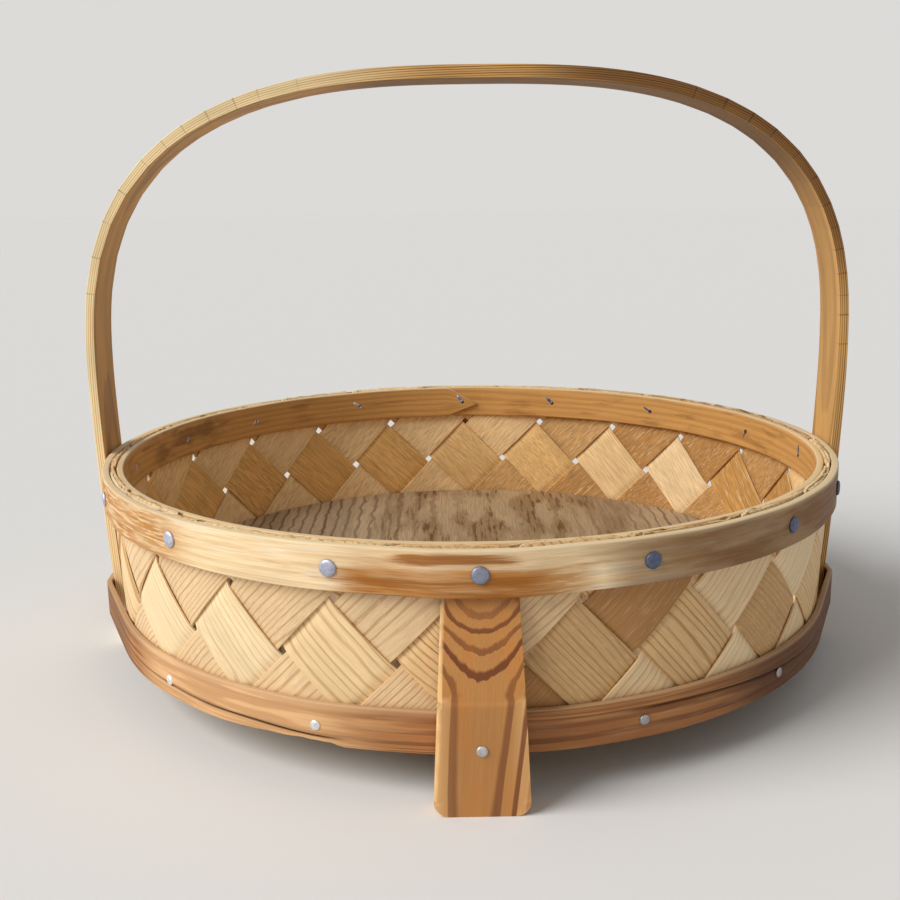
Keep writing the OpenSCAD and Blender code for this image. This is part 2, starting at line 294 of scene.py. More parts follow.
def build_board():
    bm = bmesh.new()
    bmesh.ops.create_circle(bm, cap_ends=True, segments=180, radius=board_high.x,
                            matrix=Matrix.Translation((0, 0, board_low.z)))
    push(bm, bm.faces[:][0], (0, 0, board_high.z - board_low.z))
    rims = [e for e in bm.edges if abs(e.verts[0].co.z - e.verts[1].co.z) < board_edge]
    round_edges(bm, rims, board_edge, 3)
    # Cuts that let the middle of the board carry its own flecks
    for x in range(-120, 121, 20):
        score(bm, (x * mm, 0, 0), (1, 0, 0))

    def flecked(co):
        middle = max(0.0, 1 - abs(co.x - board_pith.x) / (80 * mm))
        return (min(1.0, 1.8 * middle), 0.8 * middle, limited((co.x - 20 * mm) / (60 * mm)))

    note(bm, lambda co: (co.y, co.x - board_pith.x, co.z - board_high.z - board_pith.z), flecked)
    fit_piece(bm, "base_board", board_finish())


build_board()

# Splints
# Broad thin strips of pine, split along the grain and laid at 45 degrees, 22 leaning right and 22 leaning
# left, each over one and under one. The hoops clamp their upper ends, the band and board the lower ones.
fit = 0.3 * mm
splint_count = 22
splint_t = 0.9 * mm
splint_gap = 2.7 * mm
splint_edge = 0.2 * mm
row_z = 65 * mm
weave_turn = math.radians(-0.6)
# The hand-laid weave falls behind by this much at the right of the front.
weave_drift = math.radians(4.2)
drift_peak = math.radians(57)
drift_rise = math.radians(117)
drift_fall = math.radians(43)
wall_lean = 2.5 * mm
outer_hoop_t = 2.9 * mm
rim_low, rim_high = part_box("rim_outer_hoop")
rim_top = rim_high.z
wall_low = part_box("right_splint_01")[0].z
weave_t = 2 * splint_t + fit
wall_top_r = rim_high.x - outer_hoop_t - fit - weave_t / 2
rising_right = -1
rising_left = 1
# How pale each splint is, from -1 for dark to 1 for the palest: partly its own tone and partly painted light
# and painted shade, darker where the splint stands in shade
right_tones_and_shade = (0.0, -0.95, 0.3, 0.7, 0.4, -0.6, -0.7, -0.6, 0.95, 0.6, 0.3,
               0.35, 0.0, -0.1, -0.2, -0.15, -0.15, 0.1, 0.2, 0.15, 0.1, 0.15)
left_tones_and_shade = (-0.5, -0.4, -0.6, -0.2, 0.2, 0.0, -0.75, -0.85, -0.8, -0.6, 0.4,
              0.55, 0.6, 0.6, 0.5, 0.1, -0.1, 0.3, 0.9, 0.8, 0.4, -0.2)


def wall_r(z):
    return wall_top_r - wall_lean * (rim_top - z) / (rim_top - wall_low)


weave_r = wall_r(row_z)
turn_step = 2 * math.pi / splint_count
crossing_step = math.sqrt(2) * math.pi * weave_r / splint_count
splint_w = crossing_step - splint_gap
layer_step = splint_t + fit


def fade(share):
    """1 at a share of 0, falling softly to 0 at a share of 1."""
    return (1 + math.cos(math.pi * limited(share))) / 2


def patch(place, centre, half, soft):
    """1 up to half a width from a centre, falling softly to 0 beyond it."""
    return fade((abs(place - centre) - half) / soft)


def wrapped(azimuth):
    return (azimuth + 5 * math.pi) % (2 * math.pi) - math.pi


def around(azimuth, r, z):
    """A point at an azimuth counted from the front towards +X."""
    return Vector((r * math.sin(azimuth), -r * math.cos(azimuth), z))


def weave_azimuth(even):
    past = wrapped(even - drift_peak)
    return even - weave_drift * fade(abs(past) / (drift_rise if past < 0 else drift_fall))


def sawn_strip(start, end, width, thickness, edge, stations, lines):
    """A flat strip along X with eased long edges, scored across at the stations and along at the lines."""
    bm = bmesh.new()
    size = Matrix.Diagonal((end - start, width, thickness, 1))
    bmesh.ops.create_cube(bm, size=1, matrix=Matrix.Translation(((start + end) / 2, 0, 0)) @ size)
    long_edges = [e for e in bm.edges if abs(e.verts[1].co.x - e.verts[0].co.x) > edge]
    round_edges(bm, long_edges, edge, 2)
    for x in stations:
        score(bm, (x, 0, 0), (1, 0, 0))
    for y in lines:
        score(bm, (0, y, 0), (0, 1, 0))
    return bm


def splint_blank():
    """One flat splint, cut level at both ends as it will stand in the wall."""
    root2 = math.sqrt(2)
    top = (row_z - rim_top) * root2
    low = (row_z - wall_low) * root2
    start = top - splint_w / 2
    end = low + splint_w / 2
    at_crossing = (-0.5, -0.44, -0.3, -0.15, 0, 0.15, 0.3, 0.44, 0.5)
    at_gap = (0.25, 0.5, 0.75)
    stations = []
    for k in range(-2, 4):
        middle = k * crossing_step
        stations += [middle + splint_w * share for share in at_crossing]
        stations += [middle + splint_w / 2 + splint_gap * share for share in at_gap]
    stations = [s for s in stations if start < s < end]
    lines = [splint_w * share for share in (-0.42, -0.3, -0.18, -0.06, 0.06, 0.18, 0.3, 0.42)]
    bm = sawn_strip(start, end, splint_w, splint_t, splint_edge, stations, lines)
    for x, direction in ((top, (-1, 1, 0)), (low, (1, -1, 0))):
        score(bm, (x, 0, 0), direction, cut_off=True)
        bmesh.ops.holes_fill(bm, edges=[e for e in bm.edges if e.is_boundary], sides=0)
    return bm


def layer_at(along, z, outer_at_even):
    """How far outwards a splint lies at a place along it, as it passes over and under."""
    soft = 1.6 * mm
    swell = 0.32 * mm
    k = round(along / crossing_step)
    off = abs(along - k * crossing_step)
    turn = limited((off - splint_w / 2 + soft) / (splint_gap / 2 + soft))
    # Only between the hoop and the band is there room to swell.
    slack = patch(z, 49 * mm, 7 * mm, 12 * mm)
    side = 1 if (k % 2 == 0) == outer_at_even else -1
    crown = swell * slack * max(0.0, 1 - (2 * off / splint_w) ** 2)
    return side * (layer_step / 2 * math.cos(math.pi / 2 * turn) + crown)


def build_splint(blank, i, lean, node, tone_and_shade, material):
    luck = random.Random(100 * i + lean)
    shift = luck.uniform(-0.35, 0.35) * mm
    skew = luck.uniform(-0.005, 0.005)
    # One splint in six was split near the heart, which shows as broad arches instead of straight lines.
    heart = luck.choice((-1, 1)) * (luck.uniform(16, 38) if i % 6 else luck.uniform(4, 9)) * mm
    depth = luck.uniform(8, 20) * mm
    taper = luck.uniform(-0.11, 0.11)
    proud = luck.uniform(-0.6, 0.5) * mm
    lined = luck.uniform(0.5, 1.0) if lean == rising_left else luck.uniform(0.35, 0.8)
    # Slow-grown trees gave some splints narrow rings, fast-grown ones gave others wide rings.
    close = luck.uniform(0.65, 1.6)
    years = luck.uniform(0, 2 * math.pi)
    bm = blank.copy()

    def log(co):
        """Wide and narrow years take turns across the splint."""
        swell = 0.9 * mm * math.sin(co.y / (2.6 * mm) + years)
        return (co.x + i * 0.3, close * (co.y - heart) + swell, close * (co.z + depth + taper * co.x))

    note(bm, log, lambda co: (tone_and_shade, 0.5 + co.z / splint_t, lined))
    for v in bm.verts:
        along, across, height = v.co
        z = row_z + (across - along) / math.sqrt(2)
        across += shift + skew * along
        arc = lean * (along + across) / math.sqrt(2)
        azimuth = weave_azimuth(weave_turn + (i - 0.5) * turn_step + arc / weave_r)
        r = wall_r(z) + layer_at(along, z, lean == rising_right) + height
        if z > rim_top - fit:
            ragged = noise.noise((arc / (2.2 * mm), i * 3.7 * lean, 0)) * 1.1 * mm
            z += proud + min(ragged, 0.4 * mm)
        v.co = around(azimuth, r, z)
    fit_piece(bm, node, material)


def splint_finish(name, outside, inside):
    """A splint's finish; its early and late colours differ outside and inside, the inside ones made lighter
    as painted light, and its cut edges are pale. Its tone makes it paler or darker, partly as painted light
    and painted shade.
    """
    material, log, finish = new_wood(name)
    outer = ease(finish["Y"], 0.35, 0.65)
    paler = ease(finish["X"], 0.0, 1.0)
    darker = ease(finish["X"], 0.0, -1.0)
    mixed = []
    for out, within in zip(outside, inside):
        colour = tint(shade(*within), outer, 1.0, out)
        colour = tint(colour, paler, 0.62, (250, 228, 186))
        mixed.append(tint(colour, darker, 0.8, (160, 102, 34)))
    lined = times(finish["Z"], scaled(outer, 0.5, 0.5))
    grain = grain_of(log, 2.4 * mm, 2.2 * mm, 28 * mm, lined, 0.66, *mixed)
    # Splitting tore the fibres, which left fine silky streaks and some silvery flecks; both are partly
    # painted sheen and painted highlights, stronger inside.
    silk_and_sheen = streaks(log, 10, 0.55, 0.34, 0.66, 3.0)
    sheen = scaled(outer, -0.26, 0.36)
    painted_sheen = scaled(silk_and_sheen, sheen, scaled(sheen, -0.5, 1.0))
    colour = toned(grain["Color"], painted_sheen)
    torn_and_glints = streaks(log, 7, 0.5, 0.58, 0.70)
    colour = tint(colour, torn_and_glints, scaled(outer, -0.35, 0.65), (246, 222, 184))
    # The cut edges are paler wood and also carry a painted highlight where light catches them
    off_middle = calc("ABSOLUTE", calc("SUBTRACT", finish["Y"], 0.5))
    edge = ease(calc("SUBTRACT", 0.5, off_middle), 0.1, 0.3)
    colour = tint(colour, edge, 0.6, (238, 208, 158))
    height = scaled(silk_and_sheen, scaled(outer, -0.3, 0.5), grain["Height"])
    oil(colour, height, 0.62, 0.35)
    return material


def weave_splints():
    blank = splint_blank()
    # The inside colours are lighter than the wood's own, as painted light inside the basket
    right_wood = splint_finish("right_splint_wood", ((232, 198, 152), (178, 130, 80)),
                               ((238, 190, 118), (200, 146, 80)))
    left_wood = splint_finish("left_splint_wood", ((236, 200, 146), (178, 126, 68)),
                              ((252, 212, 150), (226, 178, 114)))
    leans = (("right", rising_right, right_tones_and_shade, right_wood), ("left", rising_left, left_tones_and_shade, left_wood))
    for i in range(1, splint_count + 1):
        for way, lean, tones_and_shade, wood in leans:
            build_splint(blank, i, lean, f"{way}_splint_{i:02d}", tones_and_shade[i - 1], wood)
    blank.free()


weave_splints()

# Base band
# A strip of darker reddish pine, steamed, bent round the splints' lower ends and lapped at the back. It
# bulges over the handle's ends at both sides, and it has split along its grain in use.
band_low, band_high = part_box("base_band")
band_t = 2.2 * mm
band_edge = 0.45 * mm
band_r = wall_r(band_high.z) + weave_t / 2 + fit
band_bulge = band_high.x - band_t - band_r
bulge_half = math.radians(5.9)
sides = (math.pi / 2, 3 * math.pi / 2)
band_joint = math.radians(208)
lap = 42 * mm
lap_ramp = 26 * mm
# The share of its thickness that each end loses where it laps
lap_thinning = 0.54
strip_step = 2.4 * mm
top_wear = 1.0 * mm


def taut_r(azimuth, r, bulge, centres, half):
    """How far out a strip lies that is drawn tight round the wall and over a bulge at each centre."""
    free = math.acos(r / (r + bulge))
    past = min(max(0.0, abs(wrapped(azimuth - c)) - half) for c in centres)
    return r / math.cos(max(0.0, free - past))


def bent_strip(r, joint, width, thickness, edge, lines):
    """A flat strip long enough to go round at radius r and lap, and where its places come to lie."""
    length = 2 * math.pi * r + lap
    count = round(length / strip_step)
    stations = [length * (k / count - 0.5) for k in range(1, count)]
    bm = sawn_strip(-length / 2, length / 2, width, thickness, edge, stations, lines)

    def azimuth_at(along):
        return joint + math.pi + along / r

    def depth_at(along, height):
        """Share of the way from the inner to the outer face, with both ends thinned where they lap."""
        share = 0.5 + height / thickness
        last = fade((length / 2 - along - lap) / lap_ramp) * lap_thinning
        first = fade((length / 2 + along - lap) / lap_ramp) * lap_thinning
        return last + share * (1 - last - first)

    return bm, azimuth_at, depth_at


def band_finish():
    material, log, finish = new_wood("band_wood")
    grain = grain_of(log, 2.4 * mm, 2.0 * mm, 90 * mm, 0.75, 0.45,
                     shade(174, 118, 70), shade(112, 66, 38))
    colour = tint(grain["Color"], streaks(log, 50, 5, 0.44, 0.66), 0.45, (138, 84, 50))
    # Painted light at the left of the front, with pale worn streaks that are stronger there, and painted
    # shade towards the handle's ends
    painted_light = ease(finish["X"], 0.0, 1.0)
    worn = times(streaks(log, 30, 1.6, 0.46, 0.66, 3.0), scaled(painted_light, 0.25, 0.2))
    colour = tint(colour, scaled(painted_light, 0.62, worn), 1.0, (230, 182, 130))
    colour = tint(colour, ease(finish["X"], 0.0, -1.0), 0.85, (72, 40, 24))
    # Pale along the top edge, and nearly black with painted shade in the splits
    colour = tint(colour, finish["Y"], 0.6, (212, 178, 138))
    colour = tint(colour, finish["Z"], 1.0, (46, 25, 16))
    oil(colour, grain["Height"], 0.66, 0.40)
    return material


def build_band():
    height = band_high.z - band_low.z
    split_y = -0.08 * height
    check_y = 0.12 * height
    split_half = 0.7 * mm
    split_depth = 1.0 * mm
    check_depth = 0.6 * mm
    lip_w = 5 * mm
    lip_rise = 0.5 * mm
    chip_depth = 1.3 * mm
    lines = [height * share for share in (-0.38, -0.28, -0.18, 0.02, 0.22, 0.36)]
    lines += [split_y + split_half * share for share in (-1, -0.35, 0.35, 1)]
    lines += [check_y - split_half / 2, check_y, check_y + split_half / 2]
    bm, azimuth_at, depth_at = bent_strip(band_r, band_joint, height, band_t, band_edge, lines)

    def split_at(azimuth):
        """How far the long split stands open, and how high it runs: falling at the left and at the right."""
        a = math.degrees(wrapped(azimuth))
        gape = max(patch(a, -49, 26, 8), patch(a, 50, 24, 10), 0.6 * patch(abs(a), 150, 10, 12))
        if 0 < a < 110:
            return gape, (0.22 - 0.30 * limited((a - 26) / 42)) * height
        return gape, -0.35 * limited((a + 75) / 56) * height

    def check_at(azimuth):
        """A finer crack above the split, at the far left only."""
        return 0.9 * patch(math.degrees(wrapped(azimuth)), -66, 8, 10)

    def chip_at(azimuth):
        """How much of the lower edge has splintered off, most of it where the left split runs out."""
        past = math.degrees(wrapped(azimuth)) + 20
        return chip_depth * (fade(past / 3) if past > 0 else fade(-past / 18))

    def finish(co):
        azimuth = azimuth_at(co.x)
        dark = 0.0
        if co.z > 0 and abs(co.y - split_y) < split_half / 2:
            dark = split_at(azimuth)[0]
        if co.z > 0 and abs(co.y - check_y) < split_half / 4:
            dark = check_at(azimuth)
        a = math.degrees(wrapped(azimuth))
        # Painted light at the left of the front, and painted shade towards each of the handle's ends
        light = 0.85 * patch(a, -36, 10, 20) - 0.8 * patch(a, 75, 28, 24) - 0.5 * patch(a, -84, 16, 16)
        return (light, fade((height / 2 - co.y) / top_wear), dark)

    note(bm, lambda co: (co.x, co.y - 30 * mm, co.z + 14 * mm + 0.012 * co.x), finish)
    for v in bm.verts:
        along, across, rise = v.co
        azimuth = azimuth_at(along)
        gape, place = split_at(azimuth)
        r = taut_r(azimuth, band_r, band_bulge, sides, bulge_half) + band_t * depth_at(along, rise)
        off = across - split_y
        if rise > 0 and abs(off) < split_half / 2:
            r -= split_depth * gape
        elif rise > 0 and 0 < off < lip_w:
            r += lip_rise * gape * (1 - off / lip_w)
        elif rise > 0 and abs(across - check_y) < split_half / 4:
            r -= check_depth * check_at(azimuth)
        # The band's lines of points close up on one side of the split and spread on the other.
        place += 0.6 * mm * noise.noise((along / (30 * mm), 1.3, 0))
        edge_y = math.copysign(height / 2, off)
        across = place + (edge_y - place) * off / (edge_y - split_y)
        ragged = 1 + 0.4 * noise.noise((along / (4 * mm), 3.3, 0))
        across += chip_at(azimuth) * ragged * limited(-5 * across / height - 1.5)
        across += 0.25 * mm * noise.noise((along / (28 * mm), 7.1, 0))
        v.co = around(azimuth, r, (band_low.z + band_high.z) / 2 + across)
    fit_piece(bm, "base_band", band_finish())


build_band()

# Rim hoops
# Two bent pine strips that clamp the splints' upper ends between them. The outer one is lapped at the back
# and bulges over the feet's tongues; the inner one ends in a point that lies on its own other end.
inner_hoop_t = 2.6 * mm
hoop_edge = 0.6 * mm
hoop_lines = (-0.38, -0.25, -0.12, 0, 0.12, 0.25, 0.38)
hoop_dents = 0.12 * mm
hoop_waver = 0.3 * mm
hoop_r = rim_high.x - outer_hoop_t
feet_at = (0.0, math.pi)
foot_bulge = -rim_low.y - rim_high.x
foot_bulge_half = math.radians(5.8)
outer_joint = math.radians(196)
inner_tip = math.radians(177)
inner_gloss = 0.3


def outer_hoop_finish():
    material, log, finish = new_wood("outer_hoop_wood")
    grain = grain_of(log, 2.6 * mm, 2.6 * mm, 80 * mm, 0.35, 0.45,
                     shade(246, 216, 170), shade(212, 168, 114))
    colour = tint(grain["Color"], streaks(log, 34, 3.2, 0.46, 0.62), 0.45, (255, 240, 214))
    # Golden in broad smears at the left and low at the front, with pale scuffs where the film is off
    smears = streaks(log, 30, 6, 0.36, 0.60, 3.0)
    golden = times(ease(finish["Z"], 0.0, -1.0), scaled(smears, 0.25, 0.73))
    colour = tint(colour, golden, 1.0, (188, 124, 52))
    scuffs = times(golden, streaks(log, 11, 0.8, 0.50, 0.58, 4.0))
    bare = ease(finish["X"], 0.06, -0.08)
    colour = tint(colour, times(scuffs, bare), 0.65, (248, 222, 172))
    # The surface film is worn off in streaks; where it is left the wood is orange brown.
    film = spots(log, (40, 3.6, 3.6), 3.0)
    streak = spots(log, (14, 0.7, 0.7))
    film = calc("ADD", scaled(streak, 0.9, film), finish["X"])
    colour = tint(colour, ease(film, 0.96, 1.42), 0.92, (156, 94, 32))
    # Painted shade at the right, fibrous all over and pale along the top edge
    painted_hoop_shade = times(calc("MAXIMUM", finish["Z"], 0.0), scaled(smears, 0.16, 0.81))
    colour = tint(colour, painted_hoop_shade, 1.0, (122, 78, 32))
    colour = toned(colour, scaled(ease(streak, 0.36, 0.64), 0.16, 0.92))
    colour = tint(colour, finish["Y"], 0.85, (232, 208, 166))
    oil(colour, grain["Height"], 0.60, 0.35)
    return material


def build_outer_hoop():
    height = rim_high.z - rim_low.z
    lines = [height * share for share in hoop_lines]
    bm, azimuth_at, depth_at = bent_strip(hoop_r, outer_joint, height, outer_hoop_t, hoop_edge, lines)

    def finish(co):
        a = math.degrees(wrapped(azimuth_at(co.x)))
        # Film left on: a long patch above the front rivet, a softer one below it and some at the back
        front = 0.58 * patch(a, -2.5, 4.5, 5) * fade(abs(co.y - 4.4 * mm) / (3.6 * mm))
        below = 0.38 * patch(a, -6, 9, 9) * fade((co.y + 2.5 * mm) / (5 * mm))
        behind = 0.3 * patch(abs(a), 130, 12, 20)
        golden_low = patch(a, -1, 11, 9) * (0.35 + 0.65 * fade((co.y + 0.5 * mm) / (4 * mm)))
        golden = max(0.9 * patch(a, -70, 22, 14), golden_low)
        # Painted shade at the right, where the hoop turns away from the light
        painted_hoop_shade = (0.96 + 0.10 * fade((75 - a) / 40)) * patch(a, 64, 32, 34)
        return (max(front, below, behind) - 0.10, fade((height / 2 - co.y) / top_wear), painted_hoop_shade - golden)

    note(bm, lambda co: (co.x, co.y + 22 * mm, co.z + 9 * mm - 0.01 * co.x), finish)
    for v in bm.verts:
        along, across, rise = v.co
        azimuth = azimuth_at(along)
        r = taut_r(azimuth, hoop_r, foot_bulge, feet_at, foot_bulge_half)
        r += outer_hoop_t * depth_at(along, rise)
        r += hoop_dents * noise.noise((along / (17 * mm), across / (6 * mm), 2.0))
        across += hoop_waver * noise.noise((along / (24 * mm), 4.2, 0)) * (across / height)
        v.co = around(azimuth, r, (rim_low.z + rim_high.z) / 2 + across)
    fit_piece(bm, "rim_outer_hoop", outer_hoop_finish())


def inner_hoop_finish():
    material, log, finish = new_wood("inner_hoop_wood")
    grain = grain_of(log, 2.8 * mm, 3.0 * mm, 70 * mm, 0.45, 0.35,
                     shade(214, 160, 92), shade(174, 116, 58))
    colour = tint(grain["Color"], streaks(log, 26, 4, 0.56, 0.70, 3.0), 0.45, (136, 84, 40))
    scratches = streaks(log, 2.5, 0.6, 0.70, 0.76, 1.0)
    colour = tint(colour, scratches, 0.5, (234, 196, 134))
    # Dark smudges where the left end of the rim was held
    smudges = streaks(log, 16, 5, 0.40, 0.66)
    colour = tint(colour, smudges, finish["X"], (100, 60, 30))
    colour = tint(colour, finish["Y"], 0.85, (228, 200, 152))
    oil(colour, grain["Height"], 0.52, 0.25, inner_gloss)
    return material


def build_inner_hoop():
    low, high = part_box("rim_inner_hoop")
    height = high.z - low.z
    lean = (wall_r(high.z) - wall_r(low.z)) / height
    middle_r = (wall_r(high.z) + wall_r(low.z)) / 2 - weave_t / 2 - fit
    point = 15 * mm
    tip_y = -1.2 * mm
    strip_r = middle_r - inner_hoop_t / 2
    joint = inner_tip + lap / 2 / strip_r
    lines = [height * share for share in hoop_lines]
    bm, azimuth_at, depth_at = bent_strip(strip_r, joint, height, inner_hoop_t, hoop_edge, lines)
    start = min(v.co.x for v in bm.verts)

    def finish(co):
        smudged = 0.6 * patch(math.degrees(wrapped(azimuth_at(co.x))), -111, 6, 10)
        return (smudged, fade((height / 2 - co.y) / (0.9 * mm)), 0)

    note(bm, lambda co: (co.x, co.y - 26 * mm, co.z + 10 * mm + 0.02 * co.x), finish)
    for v in bm.verts:
        along, across, rise = v.co
        # The first end is drawn in to a point a little below the middle and lies on the inside.
        blunt = 0.06 + 0.94 * min(1.0, (along - start) / point)
        across = tip_y + (across - tip_y) * blunt
        r = middle_r + lean * across - inner_hoop_t * (1 - depth_at(along, rise))
        r += hoop_dents * noise.noise((along / (19 * mm), across / (6 * mm), 5.0))
        across += hoop_waver * noise.noise((along / (26 * mm), 8.4, 0)) * (across / height)
        v.co = around(azimuth_at(along), r, (low.z + high.z) / 2 + across)
    fit_piece(bm, "rim_inner_hoop", inner_hoop_finish())


build_outer_hoop()
build_inner_hoop()

# Feet
# Two short pine boards that taper upwards. Each is planed to a slope that ends in a thin tongue behind the
# outer hoop, one of its front edges is chamfered, and a rivet and a nail hold it.
foot_w = 30 * mm
foot_top_w = 23.8 * mm
foot_corner_r = 5 * mm
tongue_t = 1.2 * mm
slope_z = 38 * mm
chamfer = 1.5 * mm
foot_edge = 0.5 * mm
foot_gloss = 0.35
ledge_z = band_high.z + fit
# The foot was cut with the heart of the log behind it, so the slope crosses its rings in arcs. The late
# wood of one ring reaches a little in front of the face, and the rings behind it are narrower the deeper
# they lie: each depth stands with the depth that it would have if all were of one width.
heart_behind = 30.03 * mm
foot_ring = 31 * mm / 16.9
ring_depths = [(deep * mm, even * mm) for deep, even in (
    (-1, 0), (0.6, 0), (1.77, 0.66), (3.97, 2.54), (5.74, 4.41), (7.06, 6.4), (20, 19.3))]


def even_depth(depth):
    for (deep, even), (deeper, next_even) in zip(ring_depths, ring_depths[1:]):
        if depth <= deeper:
            return even + (next_even - even) * (depth - deep) / (deeper - deep)
    return depth


def foot_finish():
    material, log, finish = new_wood("foot_wood")
    # The late wood's edge is ragged across the grain where the slope cuts it.
    ripple = scaled(spots(log, (6, 2.2, 6)), 0.6 * mm, -0.3 * mm)
    ripple = add("ShaderNodeCombineXYZ", {2: times(ripple, finish["Z"])}).outputs[0]
    ragged = calc_vector("ADD", log, ripple)
    grain = grain_of(ragged, foot_ring, 0.5 * mm, 30 * mm, 1.0, 0.52,
                     shade(190, 132, 72), shade(118, 62, 28))
    early = calc("SUBTRACT", 1.0, grain["Late"])
    glow = times(streaks(log, 40, 9, 0.40, 0.62), early)
    colour = tint(grain["Color"], glow, 0.4, (200, 124, 50))
    # Paler early wood at the sides of the slope, and a pale chamfer
    colour = tint(colour, times(finish["X"], early), 0.6, (222, 174, 116))
    colour = tint(colour, finish["Y"], 0.75, (236, 192, 130))
    oil(colour, grain["Height"], 0.50, 0.30, foot_gloss)
    return material


def build_foot(node, turn, heart_x, phase):
    low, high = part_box("foot_front")
    back_r = -high.y
    face_r = -low.y
    shelf_r = band_r + band_t + fit
    tongue_r = back_r + tongue_t
    near = 0.05 * mm
    outline = [(shelf_r, 0), (face_r, 0), (face_r, slope_z), (tongue_r, rim_low.z), (tongue_r, high.z),
               (back_r, high.z), (back_r, ledge_z), (shelf_r, ledge_z)]

    def half_w(z):
        rise = limited((z - foot_corner_r) / (rim_low.z - foot_corner_r))
        return foot_w / 2 + rise * (foot_top_w - foot_w) / 2

    def front_r(z):
        slope = (z - slope_z) / (rim_low.z - slope_z)
        return face_r if z <= slope_z else max(tongue_r, face_r + (tongue_r - face_r) * slope)

    def at_corner(co):
        return co.z < fit and abs(co.x) > foot_w / 2 - fit

    def at_left_front(co):
        at_front = abs(-co.y - front_r(co.z)) < near
        return at_front and -co.x > half_w(co.z) - near and co.z <= rim_low.z + fit

    def edges_at(test, axis, runs_along):
        """The edges with both ends at a place, and among them those that run along an axis or across it."""
        found = [e for e in bm.edges if all(test(v.co) for v in e.verts)]
        return [e for e in found if (abs(e.verts[0].co[axis] - e.verts[1].co[axis]) > fit) == runs_along]

    bm = bmesh.new()
    side = bm.faces.new([bm.verts.new((-foot_w / 2, -r, z)) for r, z in outline])
    push(bm, side, (foot_w, 0, 0))
    bmesh.ops.recalc_face_normals(bm, faces=bm.faces)
    for z in (foot_corner_r, ledge_z, slope_z, rim_low.z):
        score(bm, (0, 0, z), (0, 0, 1))
    for v in bm.verts:
        v.co.x *= half_w(v.co.z) / (foot_w / 2)
    round_edges(bm, edges_at(at_corner, 0, False), foot_corner_r - 0.2 * mm, 6)
    round_edges(bm, edges_at(at_left_front, 2, True), chamfer, 2)
    sharp = [e for e in bm.edges if e.is_manifold and e.calc_face_angle(0) > math.radians(35)]
    round_edges(bm, sharp, foot_edge, 2, clamp=True)
    # Scored up the slope and down the face, so that the rings have points to follow
    slant = (rim_low.z - slope_z) / (face_r - tongue_r)
    for z in [z * mm for z in range(4, 80, 4)] + [slope_z + slant * deep for deep, _ in ring_depths[1:-1]]:
        score(bm, (0, 0, z), (0, 0, 1))
    for x in range(-12, 13, 3):
        score(bm, (x * mm, 0, 0), (1, 0, 0))

    def finish(co):
        chamfered = co.x < chamfer - half_w(co.z) and -co.y > front_r(co.z) - chamfer
        outside = fade((11 * mm - abs(co.x - heart_x)) / (3 * mm)) * fade((co.z - slope_z) / (2 * mm))
        return (outside, 1.0 if chamfered else 0.0, fade((slope_z + 3 * mm - co.z) / (3 * mm)))

    def log(co):
        """The heart leans to the left downwards, and the rings spread where the face begins."""
        fall = min(0.0, co.z - slope_z)
        spread = 0.45 * mm * fade((co.z - slope_z) / (6 * mm)) + 0.43 * mm * fall / slope_z
        lean = 0.09 * fall + 0.08 * max(0.0, co.z - 60 * mm)
        return (co.z, co.x - heart_x - lean, even_depth(face_r + co.y) - heart_behind + phase + spread)

    note(bm, log, finish)
    bmesh.ops.rotate(bm, cent=(0, 0, 0), matrix=Matrix.Rotation(turn, 3, "Z"), verts=bm.verts)
    fit_piece(bm, node, foot_wood)


foot_wood = foot_finish()
build_foot("foot_front", 0.0, 0.3 * mm, 0.0)
build_foot("foot_back", math.pi, 1.6 * mm, -0.25 * mm)

# Handle
# One long pine strip, steamed and bent to a tall arch. Its shoulders took the bend in short flats with fine
# cracks between them. Its legs are riveted outside the rim, pass inside the band and end at the table.
handle_low, handle_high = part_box("handle")
leg_t = 3.6 * mm
crown_t = 5.2 * mm
spring_z = 115 * mm
leg_tuck = 6.3 * mm
leg_power = 1.5
left_arch_power = 2.7
right_arch_power = 2.9
crown_power = 4
leg_steps = 60
arch_steps = 240
handle_gloss = 0.1
# Places of the cracks along the strip, from the middle of the arch
left_cracks = [place * mm for place in (67, 83, 93, 105, 116, 126, 137, 152, 166, 181, 196)]
right_cracks = [place * mm for place in (90, 103, 115, 126, 139, 151, 163, 173, 182, 192, 201, 209, 221)]


def leg_r(z):
    """How far out the legs' outside stands; they draw in towards the table."""
    return handle_high.x - leg_tuck * ((spring_z - z) / spring_z) ** leg_power


def handle_line():
    """Points of the strip's outside, from right to left over the arch, with the thickness there."""
    half = handle_high.x
    rise = handle_high.z - spring_z

    def half_line(power):
        line = []
        for k in range(leg_steps):
            z = spring_z * k / leg_steps
            line.append((leg_r(z), z, leg_t))
        for k in range(arch_steps + 1):
            turn = math.pi / 2 * k / arch_steps
            up = math.sin(turn) ** (2 / power)
            out = max(0.0, math.cos(turn)) ** (2 / power)
            thickness = leg_t + (crown_t - leg_t) * up ** crown_power
            line.append((half * out, spring_z + rise * up, thickness))
        return line

    left = half_line(left_arch_power)
    return half_line(right_arch_power) + [(-x, z, t) for x, z, t in reversed(left[:-1])]


def handle_places():
    """Half the strip's length, and the way from a place along it to its outside, normal and thickness."""
    points = handle_line()
    spans = [math.dist(a[:2], b[:2]) for a, b in zip(points, points[1:])]
    reach = [0.0]
    for span in spans:
        reach.append(reach[-1] + span)
    half = reach[-1] / 2

    def on_curve(s):
        s = min(max(s + half, 0.0), reach[-1])
        k = min(range(len(spans)), key=lambda j: abs((reach[j] + reach[j + 1]) / 2 - s))
        share = (s - reach[k]) / spans[k]
        a, b = points[k], points[k + 1]
        x, z, t = (p + (q - p) * share for p, q in zip(a, b))
        normal = Vector((b[1] - a[1], 0, a[0] - b[0])).normalized()
        return Vector((x, 0, z)), normal, t

    return half, on_curve


